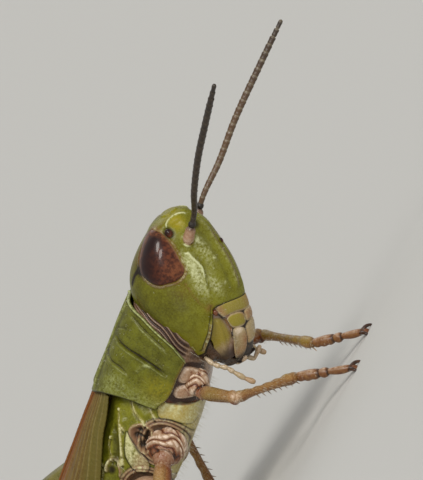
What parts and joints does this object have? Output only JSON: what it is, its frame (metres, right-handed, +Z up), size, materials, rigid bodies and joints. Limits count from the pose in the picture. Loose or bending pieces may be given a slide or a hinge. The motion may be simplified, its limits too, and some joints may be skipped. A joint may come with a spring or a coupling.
{
  "type": "grasshopper",
  "caption": "Still, life-size meadow grasshopper standing on its feet, nodding head, feelers spread forward, short wings and folded hind legs.",
  "frame": {"origin": "on the floor, under the middle of the box round the whole insect, feelers and hind knees included", "axes": "+X the way the insect faces, along the body; +Y its left; +Z up"},
  "size_m": [0.0236, 0.0136, 0.0078],
  "materials": {
    "green_shell": "waxy green skin plates with a soft sheen",
    "deep_green": "satin green skin rings",
    "eye": "polished red-brown lens surface",
    "feeler": "dull dark brown rings",
    "lip_tan": "pale tan plates with a soft sheen",
    "jaw_grey": "grey-brown plates with a soft sheen",
    "flesh_brown": "moist pink-brown skin",
    "chest_yellow": "yellow-green plates with a soft sheen",
    "leg_rust": "satin orange-brown skin",
    "leg_olive": "satin olive-brown skin",
    "wing": "dry, veined brown wing leather"
  },
  "bodies": {
    "root": {"head": "green_shell", "clypeus_and_labrum": "lip_tan", "labium": "flesh_brown", "eye_right": "eye", "mandible_right": "jaw_grey", "palp_right": "lip_tan", "eye_left": "eye", "mandible_left": "jaw_grey", "palp_left": "lip_tan", "antenna_right": "feeler", "antenna_left": "feeler", "neck_and_fore_chest": "flesh_brown", "pronotum": "green_shell", "winged_chest": "chest_yellow", "abdomen": "deep_green", "forewing_right": "wing", "forewing_left": "wing", "ovipositor": "lip_tan", "cercus_right": "deep_green", "cercus_left": "deep_green", "fore_leg_right_coxa": "flesh_brown", "fore_leg_right_femur": "leg_rust", "fore_leg_right_tibia": "leg_rust", "fore_leg_right_tarsus": "leg_rust", "fore_leg_left_coxa": "flesh_brown", "fore_leg_left_femur": "leg_rust", "fore_leg_left_tibia": "leg_rust", "fore_leg_left_tarsus": "leg_rust", "middle_leg_right_coxa": "flesh_brown", "middle_leg_right_femur": "leg_rust", "middle_leg_right_tibia": "leg_rust", "middle_leg_right_tarsus": "leg_rust", "middle_leg_left_coxa": "flesh_brown", "middle_leg_left_femur": "leg_rust", "middle_leg_left_tibia": "leg_rust", "middle_leg_left_tarsus": "leg_rust", "hind_leg_right_coxa": "flesh_brown", "hind_leg_right_femur": "leg_olive", "hind_leg_right_tibia": "leg_rust", "hind_leg_right_tarsus": "leg_rust", "hind_leg_left_coxa": "flesh_brown", "hind_leg_left_femur": "leg_olive", "hind_leg_left_tibia": "leg_rust", "hind_leg_left_tarsus": "leg_rust"}
  },
  "joints": []
}
